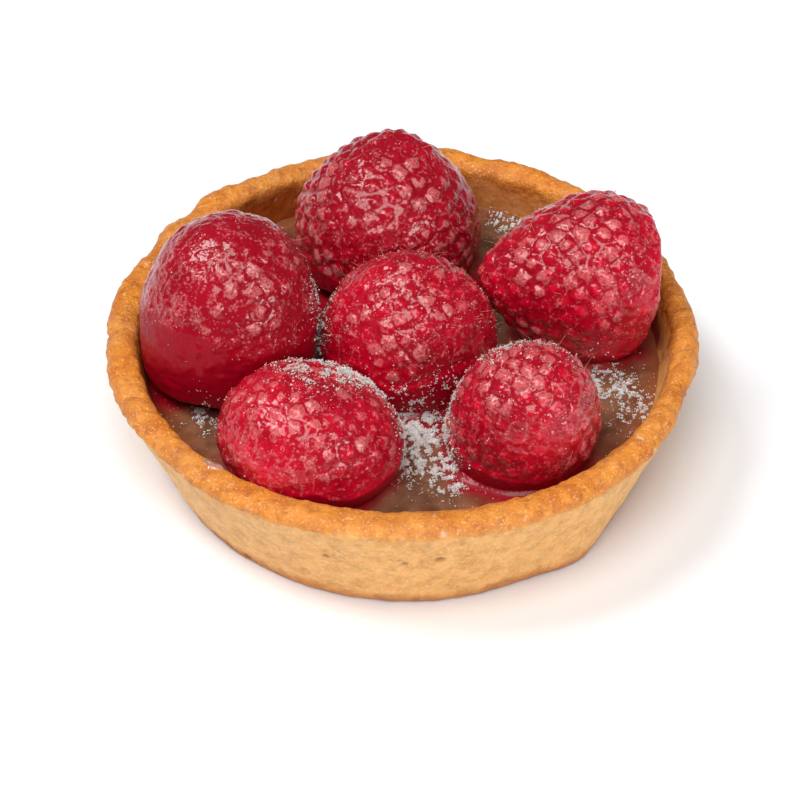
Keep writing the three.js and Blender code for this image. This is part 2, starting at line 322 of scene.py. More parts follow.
def baked_shortcrust():
    """Baked shortcrust: matt and sandy, pale where the tin held it, golden where the oven browned it."""
    material, tree, surface, place = new_material(
        "baked_shortcrust", Roughness=0.5, Specular_IOR_Level=0.35,
        Subsurface_Weight=0.12, Subsurface_Radius=(1.0, 0.5, 0.25), Subsurface_Scale=0.7 * MM,
    )
    cloud = add(tree, "ShaderNodeTexNoise", {"Scale": per_metre(2.2), "Detail": 3}, {"Vector": place})
    patch = add(
        tree, "ShaderNodeMapRange", {"From Min": 0.4, "From Max": 0.66, "To Max": 0.75},
        {"Value": cloud.outputs[0]},
    )
    flour = add(tree, "ShaderNodeTexNoise", {"Scale": per_metre(0.45), "Detail": 3}, {"Vector": place})
    sand = add(
        tree, "ShaderNodeMapRange", {"From Min": 0.48, "From Max": 0.72, "To Max": 0.7},
        {"Value": flour.outputs[0]},
    )
    bran = add(tree, "ShaderNodeTexNoise", {"Scale": per_metre(0.9), "Detail": 3}, {"Vector": place})
    brown = add(
        tree, "ShaderNodeMapRange", {"From Min": 0.54, "From Max": 0.7, "To Max": 0.65},
        {"Value": bran.outputs[0]},
    )
    wall = add(
        tree, "ShaderNodeMix", {"data_type": "RGBA", 6: linear("#f0b264"), 7: linear("#ce8e42")},
        {0: patch.outputs[0]},
    )
    wall = add(
        tree, "ShaderNodeMix", {"data_type": "RGBA", 7: linear("#b67c40")},
        {0: brown.outputs[0], 6: wall.outputs[2]},
    )
    wall = add(
        tree, "ShaderNodeMix", {"data_type": "RGBA", 7: linear("#f7cc92")},
        {0: sand.outputs[0], 6: wall.outputs[2]},
    )
    rim = add(
        tree, "ShaderNodeMix", {"data_type": "RGBA", 6: linear("#e28a2a"), 7: linear("#be621c")},
        {0: patch.outputs[0]},
    )
    rim = add(
        tree, "ShaderNodeMix", {"data_type": "RGBA", 7: linear("#a85418")},
        {0: brown.outputs[0], 6: rim.outputs[2]},
    )
    # Pale flecks on the rim: sugar-like grains, with painted glints on them.
    speck = add(tree, "ShaderNodeTexNoise", {"Scale": per_metre(0.32), "Detail": 3}, {"Vector": place})
    flecks_and_glints = add(
        tree, "ShaderNodeMapRange", {"From Min": 0.58, "From Max": 0.7, "To Max": 0.6},
        {"Value": speck.outputs[0]},
    )
    rim = add(
        tree, "ShaderNodeMix", {"data_type": "RGBA", 7: linear("#ffd49a")},
        {0: flecks_and_glints.outputs[0], 6: rim.outputs[2]},
    )
    browned = add(tree, "ShaderNodeAttribute", {"attribute_name": "browned"}).outputs["Fac"]
    colour = add(
        tree, "ShaderNodeMix", {"data_type": "RGBA"},
        {0: browned, 6: wall.outputs[2], 7: rim.outputs[2]},
    )
    # Laid over in turn: painted shade on the inner wall, then darker holes, red juice stains and sugar
    # powder.
    laid_over = (("inner", "#8a3602"), ("pit", "#7c3e14"), ("stain", "#7c0c14"), ("powder", "#f3dcc0"))
    for name, shade in laid_over:
        share = add(tree, "ShaderNodeAttribute", {"attribute_name": name}).outputs["Fac"]
        colour = add(
            tree, "ShaderNodeMix", {"data_type": "RGBA", 7: linear(shade)},
            {0: share, 6: colour.outputs[2]},
        )
    tree.links.new(colour.outputs[2], surface.inputs["Base Color"])
    sandy = add(tree, "ShaderNodeMapRange", {"To Min": 0.5, "To Max": 1.0}, {"Value": browned})
    grit = add(tree, "ShaderNodeTexNoise", {"Scale": per_metre(0.42), "Detail": 5}, {"Vector": place})
    bump = add(
        tree, "ShaderNodeBump", {"Distance": 0.24 * MM},
        {"Height": grit.outputs[0], "Strength": sandy.outputs[0]},
    )
    tree.links.new(bump.outputs[0], surface.inputs["Normal"])
    return material


def glazed_cream():
    """Cream under a thin clear jelly glaze: grey-brown and glossy, with red juice at the berries."""
    material, tree, surface, place = new_material(
        "glazed_cream", Roughness=0.4, Specular_IOR_Level=0.2,
        Subsurface_Weight=0.25, Subsurface_Radius=(1.0, 0.6, 0.4), Subsurface_Scale=1.0 * MM,
        Coat_Weight=0.3, Coat_Roughness=0.12, Coat_IOR=1.4,
    )
    cloud = add(tree, "ShaderNodeTexNoise", {"Scale": per_metre(2.6), "Detail": 4}, {"Vector": place})
    patch = add(
        tree, "ShaderNodeMapRange", {"From Min": 0.32, "From Max": 0.68}, {"Value": cloud.outputs[0]},
    )
    colour = add(
        tree, "ShaderNodeMix", {"data_type": "RGBA", 6: linear("#5a3826"), 7: linear("#8c6248")},
        {0: patch.outputs[0]},
    )
    for name, shade in (("wall", "#8c4a20"), ("juice", "#920a1c")):
        share = add(tree, "ShaderNodeAttribute", {"attribute_name": name}).outputs["Fac"]
        colour = add(
            tree, "ShaderNodeMix", {"data_type": "RGBA", 7: linear(shade)},
            {0: share, 6: colour.outputs[2]},
        )
    tree.links.new(colour.outputs[2], surface.inputs["Base Color"])
    waves = add(tree, "ShaderNodeTexNoise", {"Scale": per_metre(1.3), "Detail": 3}, {"Vector": place})
    bump = add(
        tree, "ShaderNodeBump", {"Strength": 0.5, "Distance": 0.15 * MM}, {"Height": waves.outputs[0]},
    )
    tree.links.new(bump.outputs[0], surface.inputs["Normal"])
    tree.links.new(bump.outputs[0], surface.inputs["Coat Normal"])
    return material


def glazed_raspberry():
    """Raspberry flesh: translucent red drupelets under a wet, uneven clear glaze, and painted highlights.
    """
    material, tree, surface, place = new_material(
        "glazed_raspberry", Roughness=0.5, Specular_IOR_Level=0.08,
        Subsurface_Weight=0.15, Subsurface_Radius=(1.0, 0.1, 0.08), Subsurface_Scale=1.0 * MM,
        Coat_Roughness=0.04, Coat_IOR=1.42,
    )
    cloud = add(tree, "ShaderNodeTexNoise", {"Scale": per_metre(4.5), "Detail": 3}, {"Vector": place})
    patch = add(
        tree, "ShaderNodeMapRange", {"From Min": 0.35, "From Max": 0.65}, {"Value": cloud.outputs[0]},
    )
    flesh = add(
        tree, "ShaderNodeMix", {"data_type": "RGBA", 6: linear("#a8001e"), 7: linear("#d2002a")},
        {0: patch.outputs[0]},
    )
    # Darker flesh on some berries: partly riper fruit, partly painted shade on berries that lie in shadow.
    ripe = add(tree, "ShaderNodeAttribute", {"attribute_name": "ripe"}).outputs["Fac"]
    flesh = add(
        tree, "ShaderNodeMix", {"data_type": "RGBA", 7: linear("#780012")},
        {0: ripe, 6: flesh.outputs[2]},
    )
    # Painted shade: darker red in the valleys between the drupelets.
    dome = add(tree, "ShaderNodeAttribute", {"attribute_name": "dome"}).outputs["Fac"]
    valley_shade = add(
        tree, "ShaderNodeMapRange", {"From Min": 0.95, "From Max": 0.45, "To Max": 0.7}, {"Value": dome},
    )
    colour = add(
        tree, "ShaderNodeMix", {"data_type": "RGBA", 7: linear("#940018")},
        {0: valley_shade.outputs[0], 6: flesh.outputs[2]},
    )
    # Darker red round the foot: the thick glaze there, and painted shade on the lower part of the fruit.
    band = add(tree, "ShaderNodeAttribute", {"attribute_name": "band"}).outputs["Fac"]
    deep = add(tree, "ShaderNodeMath", {"operation": "MULTIPLY", 1: 0.75}, {0: band})
    colour = add(
        tree, "ShaderNodeMix", {"data_type": "RGBA", 7: linear("#9a001a")},
        {0: deep.outputs[0], 6: colour.outputs[2]},
    )
    # Painted highlights: ragged pale pink patches on drupelet tops, wrinkles and strings stand for the
    # lights' reflections in the glaze, and a fine noise varies how strongly each shows.
    mottle = add(
        tree, "ShaderNodeTexNoise", {"Scale": per_metre(0.4), "Detail": 3, "Distortion": 0.8},
        {"Vector": place},
    )
    uneven = add(
        tree, "ShaderNodeMapRange", {"From Min": 0.35, "From Max": 0.65, "To Min": -0.3, "To Max": 0.2},
        {"Value": mottle.outputs[0]},
    )
    bloom = add(tree, "ShaderNodeAttribute", {"attribute_name": "bloom"}).outputs["Fac"]
    ragged = add(tree, "ShaderNodeMath", {}, {0: bloom, 1: uneven.outputs[0]})
    grain = add(tree, "ShaderNodeTexNoise", {"Scale": per_metre(0.28), "Detail": 2}, {"Vector": place})
    thickness = add(
        tree, "ShaderNodeMapRange", {"From Min": 0.35, "From Max": 0.65, "To Min": 0.2, "To Max": 0.85},
        {"Value": grain.outputs[0]},
    )
    painted_tops = add(
        tree, "ShaderNodeMapRange", {"From Min": 0.2, "From Max": 0.55},
        {"Value": ragged.outputs[0], "To Max": thickness.outputs[0]},
    )
    colour = add(
        tree, "ShaderNodeMix", {"data_type": "RGBA", 7: linear("#d07474")},
        {0: painted_tops.outputs[0], 6: colour.outputs[2]},
    )
    # Small pale dots on the upper sides: bubbles in the glaze, and painted glints.
    upper = add(tree, "ShaderNodeAttribute", {"attribute_name": "upper"}).outputs["Fac"]
    cells = add(tree, "ShaderNodeTexVoronoi", {"Scale": per_metre(1.0)}, {"Vector": place})
    bubble_and_glint = add(
        tree, "ShaderNodeMapRange", {"From Min": 0.24, "From Max": 0.14},
        {"Value": cells.outputs["Distance"]},
    )
    bubbles_and_glints = add(tree, "ShaderNodeMath", {"operation": "MULTIPLY"}, {0: upper, 1: bubble_and_glint.outputs[0]})
    faint = add(tree, "ShaderNodeMath", {"operation": "MULTIPLY", 1: 0.35}, {0: bubbles_and_glints.outputs[0]})
    colour = add(
        tree, "ShaderNodeMix", {"data_type": "RGBA", 7: linear("#d8848a")},
        {0: faint.outputs[0], 6: colour.outputs[2]},
    )
    haze = add(tree, "ShaderNodeTexNoise", {"Scale": per_metre(0.3), "Detail": 3}, {"Vector": place})
    flecks = add(
        tree, "ShaderNodeMapRange", {"From Min": 0.64, "From Max": 0.8}, {"Value": haze.outputs[0]},
    )
    dusted = add(tree, "ShaderNodeMath", {"operation": "MULTIPLY"}, {0: upper, 1: flecks.outputs[0]})
    colour = add(
        tree, "ShaderNodeMix", {"data_type": "RGBA", 7: linear("#d8888c")},
        {0: dusted.outputs[0], 6: colour.outputs[2]},
    )
    tree.links.new(colour.outputs[2], surface.inputs["Base Color"])
    ripple = add(
        tree, "ShaderNodeTexNoise", {"Scale": per_metre(0.9), "Detail": 1, "Distortion": 1.0},
        {"Vector": place},
    )
    thin = add(
        tree, "ShaderNodeMapRange", {"From Max": 0.6, "To Min": 0.9, "To Max": 0.25}, {"Value": band},
    )
    tree.links.new(thin.outputs[0], surface.inputs["Coat Weight"])
    calm = add(tree, "ShaderNodeMapRange", {"To Min": 0.8, "To Max": 0.2}, {"Value": band})
    bump = add(
        tree, "ShaderNodeBump", {"Distance": 0.12 * MM},
        {"Height": ripple.outputs[0], "Strength": calm.outputs[0]},
    )
    tree.links.new(bump.outputs[0], surface.inputs["Coat Normal"])
    return material


def clear_jelly():
    """A drop of clear jelly glaze: nearly colourless, wet and faintly amber."""
    material, tree, surface, place = new_material(
        "clear_jelly", Roughness=0.08, IOR=1.4, Transmission_Weight=0.7,
        Coat_Weight=0.6, Coat_Roughness=0.04,
    )
    cloud = add(tree, "ShaderNodeTexNoise", {"Scale": per_metre(1.5)}, {"Vector": place})
    colour = add(
        tree, "ShaderNodeMix", {"data_type": "RGBA", 6: linear("#f0b48c"), 7: linear("#fce8dc")},
        {0: cloud.outputs[0]},
    )
    tree.links.new(colour.outputs[2], surface.inputs["Base Color"])
    return material


def icing_sugar():
    """Icing sugar: tiny matt white crystals, pinker where single ones are wetted by the glaze."""
    material, tree, surface, place = new_material(
        "icing_sugar", Roughness=0.5, Subsurface_Weight=0.3, Subsurface_Scale=0.3 * MM,
    )
    cloud = add(tree, "ShaderNodeTexNoise", {"Scale": per_metre(1.2), "Detail": 3}, {"Vector": place})
    patch = add(
        tree, "ShaderNodeMapRange", {"From Min": 0.35, "From Max": 0.65}, {"Value": cloud.outputs[0]},
    )
    colour = add(
        tree, "ShaderNodeMix", {"data_type": "RGBA", 6: linear("#e6d4ce"), 7: linear("#fffaf6")},
        {0: patch.outputs[0]},
    )
    wetted = add(tree, "ShaderNodeAttribute", {"attribute_name": "wetted"}).outputs["Fac"]
    colour = add(
        tree, "ShaderNodeMix", {"data_type": "RGBA", 7: linear("#e2aaa6")},
        {0: wetted, 6: colour.outputs[2]},
    )
    tree.links.new(colour.outputs[2], surface.inputs["Base Color"])
    return material


def dried_style():
    """The dried styles of the fruit: hair-fine, stiff and straw-coloured."""
    material, tree, surface, place = new_material("dried_style", Roughness=0.45)
    cloud = add(tree, "ShaderNodeTexNoise", {"Scale": per_metre(1.0)}, {"Vector": place})
    colour = add(
        tree, "ShaderNodeMix", {"data_type": "RGBA", 6: linear("#b06a44"), 7: linear("#f0cfa8")},
        {0: cloud.outputs[0]},
    )
    tree.links.new(colour.outputs[2], surface.inputs["Base Color"])
    return material


# Case

def inner_radius(height):
    """How far the case's inner wall is from the axis at a height."""
    return LIP_RADIUS - RIM_WIDTH - INNER_SLOPE * (LIP_HEIGHT - height)


def rim_share(height):
    """How much a height belongs to the case's rim, from 0 to 1."""
    return smooth(height, LIP_HEIGHT - RIM_FADE, LIP_HEIGHT)


def case_profile():
    """The case's outline as [radius, height], from the underside's middle to the floor's middle. The
    foot's edge is rounded by one more point."""
    wall_top = LIP_HEIGHT - LIP_UNDERSIDE
    corner = FLOOR_THICKNESS + FLOOR_ROUNDING
    points = [[AT_AXIS, 0], [BASE_RADIUS - 1.6 * BASE_ROUNDING, 0]]
    points += [[BASE_RADIUS - 0.3, 0.35 * BASE_ROUNDING]]
    points += [[BASE_RADIUS, BASE_ROUNDING], [LIP_RADIUS - LIP_OVERHANG, wall_top]]
    for turn in np.linspace(0, math.pi, 15):
        radius = LIP_RADIUS - RIM_WIDTH / 2 + RIM_WIDTH / 2 * math.cos(turn)
        points.append([radius, LIP_HEIGHT + (RIM_HEIGHT - LIP_HEIGHT) * math.sin(turn)])
    points += [[inner_radius(corner), corner]]
    points += [[inner_radius(FLOOR_THICKNESS) - FLOOR_ROUNDING, FLOOR_THICKNESS]]
    points += [[AT_AXIS, FLOOR_THICKNESS]]
    return np.array(points, float)


def sampled_profile():
    """The case's outline in fine steps where it shows and coarse ones under the filling and the foot."""
    outline = case_profile()
    steps = [outline[:1]]
    for start, end in zip(outline[:-1], outline[1:]):
        underside = end[1] <= 0
        floor = end[1] <= FLOOR_THICKNESS + FLOOR_ROUNDING and BASE_ROUNDING < start[1] < LIP_HEIGHT - 1
        step = HIDDEN_STEP if underside or floor else CASE_STEP
        count = max(1, int(np.linalg.norm(end - start) / step))
        steps.append(start + (end - start) * (np.arange(1, count + 1) / count)[:, None])
    return np.concatenate(steps)


def bulge_at(angle, rise):
    """How far the case stands out at an angle in degrees and a height from 0, foot, to 1, rim."""
    out = 0
    for centre, spread, rim, foot in BULGES:
        away = (angle - centre + 180) % 360 - 180
        out = out + (foot + (rim - foot) * rise) * np.exp(-((away / spread) ** 2))
    return out


def case_pits(points, rng):
    """How deep the small holes in the wall are at each point, from 0 to 1."""
    deep = np.zeros(len(points))
    others = [
        (rng.uniform(-40, 220), rng.uniform(2, 13.5), rng.uniform(0.4, 0.85)) for _ in range(OTHER_PITS)
    ]
    for degrees, height, size in FRONT_PITS + others:
        angle = math.radians(degrees)
        radius = BASE_RADIUS + (LIP_RADIUS - BASE_RADIUS) * height / LIP_HEIGHT
        centre = [radius * math.cos(angle), radius * math.sin(angle), height]
        away = np.linalg.norm((points - centre) / [1, 1, 0.8], axis=1)
        deep = np.maximum(deep, 1 - smooth(away, 0.35 * size, size))
    return deep


def outward_slope(profile):
    """The outline's normals, as how far out and how far up, one for each of its points."""
    slope = np.gradient(profile, axis=0)
    normal = np.stack([slope[:, 1], -slope[:, 0]], axis=1)
    return normal / np.linalg.norm(normal, axis=1)[:, None]


def front_share(turns):
    """How much an angle belongs to the front of the case, from 0 to 1."""
    return np.exp(-((np.degrees(turns) - FRONT_ANGLE) / FRONT_SPREAD) ** 2)


def case_shift(points, turns, beyond, pits, normal):
    """How far out and how far up the baked case's points lie from those of a truly turned one."""
    height = points[:, 2]
    outside = smooth(beyond, 0.2, 1.5)
    rise = np.clip(height / LIP_HEIGHT, 0, 1)
    grain = crumbs(points, CRUMB_SIZE)
    out = bulge_at(np.degrees(turns), rise)
    out = out + grain * (WALL_CRUMBS + (RIM_CRUMBS - WALL_CRUMBS) * rise ** 4)
    relief = layered(points, CASE_GRIT) * (0.7 + 0.7 * rim_share(height)) - INSET - PIT_DEPTH * pits
    off_table = smooth(height, 0, 0.6)
    at_front = front_share(turns) * smooth(height, LIP_HEIGHT - 2, LIP_HEIGHT)
    out = out * outside - FRONT_RIM_INWARD * at_front * (1 - outside)
    up = np.where(height > LIP_HEIGHT, grain * RIM_CRUMBS * outside, 0)
    up = up + off_table * relief * normal[:, 1] + FRONT_RIM_LIFT * at_front
    return off_table * (out + relief * normal[:, 0]), up


def case_colours(points, placed, turns, beyond, pits):
    """How browned, pitted, powdered and stained the case is at each point, and its painted shade inside.
    """
    height = placed[:, 2]
    front = front_share(turns)
    raise_from, raise_to = FRONT_BROWN_RAISE
    uneven = height + 0.6 * crumbs(points, 2.2)
    browned = smooth(uneven, BROWN_FROM + raise_from * front, BROWN_TO + raise_to * front)
    foot = 1 - smooth(height + 0.6 * crumbs(points, 1.8), *FOOT_BROWN)
    patches = 0.5 + 0.5 * crumbs(points, 6)
    # Painted shade on the inner wall below the rim, darkest at the back left, where the key light doesn't
    # reach.
    inner = (1 - smooth(beyond, 0.3, 1.5)) * (1 - smooth(height, LIP_HEIGHT - 0.8, LIP_HEIGHT + 1.2))
    inner = inner * (0.58 + 0.42 * np.cos(turns - math.radians(INNER_SHADE_ANGLE)))
    specks = smooth(layered(points, ((1, 0.9), (0.9, 0.5))), 1.05, 1.4)
    powder = rim_share(points[:, 2]) * specks * 0.5
    low = 1 - smooth(height + 0.5 * crumbs(points, 1.6), LEVEL + 1.4, LEVEL + 3)
    stain = (1 - smooth(beyond, 0.2, 1)) * low * smooth(pool_at(placed), 0.25, 0.8)
    return dict(
        browned=np.maximum(browned, foot) * (0.75 + 0.25 * patches), inner=inner,
        pit=np.maximum(0.8 * pits, 0.15 * foot), powder=powder, stain=0.9 * stain,
    )


def make_case():
    rng = np.random.default_rng(5)
    profile = sampled_profile()
    turn = np.linspace(0, 2 * math.pi, CASE_SECTORS, endpoint=False)
    radius, turns = np.meshgrid(profile[:, 0], turn, indexing="ij")
    radius, turns = radius.ravel(), turns.ravel()
    height = np.repeat(profile[:, 1], CASE_SECTORS)
    points = np.stack([radius * np.cos(turns), radius * np.sin(turns), height], axis=1)
    beyond = radius - inner_radius(height)
    pits = case_pits(points, rng) * (beyond > 1)
    normal = np.repeat(outward_slope(profile), CASE_SECTORS, axis=0)
    out, up = case_shift(points, turns, beyond, pits, normal)
    radius, height = radius + out, height + up
    placed = np.stack([radius * np.cos(turns), radius * np.sin(turns), height], axis=1) + AXIS
    faces = ring_faces(len(profile), CASE_SECTORS)
    make_piece(
        "shortcrust_case", placed, faces, baked_shortcrust(), "crust", "crust",
        **case_colours(points, placed, turns, beyond, pits),
    )


# Raspberries

def outline_of(berry):
    """A raspberry's outline, tip to the middle of its underside, as radius and height in millimetres."""
    height = np.cos(np.linspace(0, math.pi / 2, 121))
    radius = width_at(berry, height)
    inward = np.linspace(1, 0, 13)[1:]
    height = np.concatenate([height, 0 * inward])
    radius = np.concatenate([radius, radius[-1] * inward])
    return radius * berry["size"][0] / 2, height * berry["size"][2]


def width_at(berry, height):
    """A berry's width at heights from 0, its underside, to 1, its tip, as a share of its whole width."""
    form = USUAL_FORM | berry
    shoulder = form["shoulder"]
    above = np.clip((height - shoulder) / (1 - shoulder), 0, 1)
    below = np.clip((shoulder - height) / shoulder, 0, 1)
    rounded = (1 - above ** form["taper"]) ** (1 / form["tip"])
    return rounded * (1 - (1 - form["foot"]) * below ** 2)


def surface_of(berry, directions):
    """The points about the pivot, and the outward normals, for directions on the unit sphere. Equal
    areas of the sphere give equal areas of the berry."""
    radius, height = outline_of(berry)
    slant = np.hypot(np.diff(radius), np.diff(height))
    area = np.concatenate([[0], np.cumsum((radius[1:] + radius[:-1]) * slant)])
    share = (1 - directions[:, 2]) / 2 * area[-1]
    tangent = np.stack([np.gradient(radius), np.gradient(height)], axis=1)
    tangent /= np.linalg.norm(tangent, axis=1)[:, None]
    r, h = np.interp(share, area, radius), np.interp(share, area, height)
    out, up = np.interp(share, area, -tangent[:, 1]), np.interp(share, area, tangent[:, 0])
    around = directions[:, :2] / np.maximum(np.linalg.norm(directions[:, :2], axis=1), 1e-9)[:, None]
    x, y = around.T
    squash = berry["size"][1] / berry["size"][0]
    points = np.stack([r * x, r * y * squash, h - PIVOT * berry["size"][2]], axis=1)
    normals = np.stack([out * x, out * y / squash, up], axis=1)
    return points, normals / np.linalg.norm(normals, axis=1)[:, None]


def drupelet_count(berry):
    """How many drupelets, packed closely, cover a berry."""
    radius, height = outline_of(berry)
    area = math.pi * np.sum((radius[1:] + radius[:-1]) * np.hypot(np.diff(radius), np.diff(height)))
    return round(area / (DRUPELET_WIDTH ** 2 * math.sqrt(3) / 2))


def drupelet_directions(count, seed):
    """Directions spread evenly in spirals over the unit sphere, each a little off its place."""
    i = np.arange(count)
    z = 1 - (2 * i + 1) / count
    angle = i * math.pi * (3 - math.sqrt(5)) + seed
    across = np.sqrt(1 - z * z)
    directions = np.stack([across * np.cos(angle), across * np.sin(angle), z], axis=1)
    jitter = np.stack([scatter(i, n, seed) for n in (1, 2, 3)], axis=1)
    directions += jitter * DRUPELET_JITTER * math.sqrt(4 * math.pi / count)
    return directions / np.linalg.norm(directions, axis=1)[:, None]


def placing(berry):
    """The rotation and the place of a berry's pivot, in millimetres."""
    angle, lean = math.radians(berry["angle"]), math.radians(berry["lean"])
    x, y = -math.sin(angle), math.cos(angle)
    cross = np.array([[0, 0, y], [0, 0, -x], [-y, x, 0]])
    rotation = np.eye(3) + math.sin(lean) * cross + (1 - math.cos(lean)) * cross @ cross
    return rotation, np.array(berry["at"]) + [0, 0, PIVOT * berry["size"][2]] + AXIS


def nearest_drupelets(points, middles):
    """For each point, the distances to the nearest and the next drupelet, and which the nearest is."""
    away = np.linalg.norm(points[:, None, :] - middles[None, :, :], axis=2)
    order = np.argpartition(away, 1, axis=1)[:, :2]
    pair = np.take_along_axis(away, order, axis=1)
    first = np.where(pair[:, 0] <= pair[:, 1], order[:, 0], order[:, 1])
    return pair.min(axis=1), pair.max(axis=1), first


def ridges(points, size):
    """Winding ridges of that size in space, 1 along their tops."""
    return 1 - np.abs(crumbs(points, size))


def glaze_on(berry, points, outward):
    """How much the glaze stands round the foot, and how much a place faces the side it ran down."""
    uneven = layered(points, ((2.2, 6), (0.8, 2)))
    band = 1 - smooth(points[:, 2] + uneven, LEVEL + 0.65 * berry["band"], LEVEL + berry["band"])
    turn = math.radians(berry["strings"][0])
    faced = smooth(outward @ [math.cos(turn), math.sin(turn), 0], 0.15, 0.8) * (1 - band)
    return band, faced


def pale_tops(berry, points, near, next_near, own, tone):
    """Ragged patches of painted highlight on the tops of some drupelets, as many and as large as set."""
    share = berry["painted_tops"]
    size = 0.45 + 0.5 * share + 0.25 * tone
    ragged = near + layered(points, ((0.45, 0.7), (0.3, 1.5)))
    patches = (1 - smooth(ragged, size - 0.16, size + 0.16)) * smooth(next_near - near, 0.1, 0.45)
    return patches * smooth(own, 0.1 - 0.9 * share, 0.5 - 0.9 * share)


def make_raspberry(name, berry, seed, sphere, material):
    directions, faces = sphere
    local, normals = surface_of(berry, directions)
    middles, _ = surface_of(berry, drupelet_directions(drupelet_count(berry), seed))
    near, next_near, which = nearest_drupelets(local, middles)
    own, tone = scatter(which, seed, 5), scatter(which, seed, 8)
    rotation, centre = placing(berry)
    points = local @ rotation.T + centre
    outward = normals @ rotation.T
    band, faced = glaze_on(berry, points, outward)
    amount = berry["strings"][1]
    thick = crumbs(points, 5.5)
    dome = 1 - (1 - np.clip((next_near - near) / DRUPELET_WIDTH, 0, 1)) ** 2.2
    level = berry["glaze"] + 0.3 * thick + 0.5 * band + 0.35 * amount * faced
    # Glaze fills the valleys between the drupelets up to its level, with a soft edge.
    filled = np.log(np.exp(6 * dome) + np.exp(6 * level)) / 6
    strings = ridges(local * [1, 1, 0.28] + 0.5 * crumbs(local, 3)[:, None], 0.95)
    strings = smooth(strings, 0.72, 1) * (0.15 + 0.85 * faced) * amount * (1 - 0.7 * band)
    wrinkles = smooth(ridges(points + 0.5 * crumbs(points, 1.6)[:, None], 1.4), 0.8, 1)
    relief = DRUPELET_RISE * (filled - 1) + DRUPELET_UNEVEN * own * dome * (1 - band)
    relief += STRING_HEIGHT * strings + WRINKLE_HEIGHT * wrinkles * (1 - band)
    relief += layered(points, SKIN_BUMPS) + BAND_EDGE_HEIGHT * np.exp(-((band - 0.5) / 0.3) ** 2)
    points = points + outward * (relief + GLAZE_SKIN)[:, None]
    # Painted highlights: pale tops on some drupelets, stronger on upward faces, and pale wrinkles and
    # strings.
    facing_up = smooth(outward[:, 2], -0.7, 0.4)
    tops = pale_tops(berry, points, near, next_near, own, tone)
    tops = tops * (1 - 0.7 * amount * faced) * (0.15 + 0.85 * smooth(thick, 0.55, -0.35))
    bloom = (0.7 + 0.3 * facing_up) * (1 - band) * np.maximum(tops, 0.45 * wrinkles)
    bloom = np.maximum(bloom, 0.55 * strings)
    return make_piece(
        f"raspberry_{name}_glazed", points, faces, material, "raspberry", f"raspberry_{name}",
        dome=filled, band=band, bloom=bloom, upper=facing_up * (1 - band),
        ripe=np.full(len(points), berry["ripe"]),
    )


def unit_sphere(subdivisions):
    """Directions and triangles of a divided icosahedron."""
    shape = bmesh.new()
    bmesh.ops.create_icosphere(shape, subdivisions=subdivisions, radius=1)
    directions = np.array([vertex.co[:] for vertex in shape.verts])
    faces = np.array([[vertex.index for vertex in face.verts] for face in shape.faces])
    shape.free()
    return directions, faces


# Filling

def clearance(points, berry):
    """Roughly how far points are outside a berry, in millimetres, and less than 0 inside it."""
    rotation, centre = placing(berry)
    local = (points - centre) @ rotation
    width, depth, tall = berry["size"]
    height = local[:, 2] / tall + PIVOT
    across = np.hypot(local[:, 0], local[:, 1] * width / depth)
    radius = width_at(berry, np.clip(height, 0, 1)) * width / 2
    over = np.maximum(height - 1, -height) * tall
    return np.maximum(across - radius, over)


def pool_at(points):
    """How much red juice and glaze has gathered at each point, from 0 to 1."""
    flat = points - AXIS
    total = 0
    for x, y, spread in POOLS:
        total = total + np.exp(-((flat[:, 0] - x) ** 2 + (flat[:, 1] - y) ** 2) / spread ** 2)
    return np.minimum(total, 1)


def filling_surface(points):
    """The height of the glazed top at points on its level, and how near the berries and the wall are.
    Under a berry it dips."""
    nearest = np.min([clearance(points + [0, 0, 0.6], berry) for berry in BERRIES.values()], axis=0)
    near = np.maximum(nearest, 0)
    flat = points - AXIS
    wall = np.maximum(inner_radius(LEVEL + 0.5) - np.hypot(flat[:, 0], flat[:, 1]), 0)
    uneven = crumbs(flat * [1, 1, 0], 2.3)
    (wave, wave_width), (ripple, ripple_width) = FILLING_WAVES
    top = LEVEL + wave * crumbs(flat * [1, 1, 0] + [0, 0, LEVEL], wave_width)
    top = top + ripple * crumbs(flat * [1, 1, 0], ripple_width)
    top = top + (BERRY_CREEP + BERRY_CREEP_UNEVEN * uneven) * np.exp(-near / CREEP_REACH)
    top = top + (WALL_CREEP + WALL_CREEP_UNEVEN * uneven) * np.exp(-wall / CREEP_REACH)
    pool = pool_at(points) * np.exp(-near / 1.6)
    top = top + pool * (POOL_RISE + POOL_RISE_AT_WALL * np.exp(-wall / 1.2))
    return top - 1.4 * np.clip(-nearest, 0, 2.5), near, wall


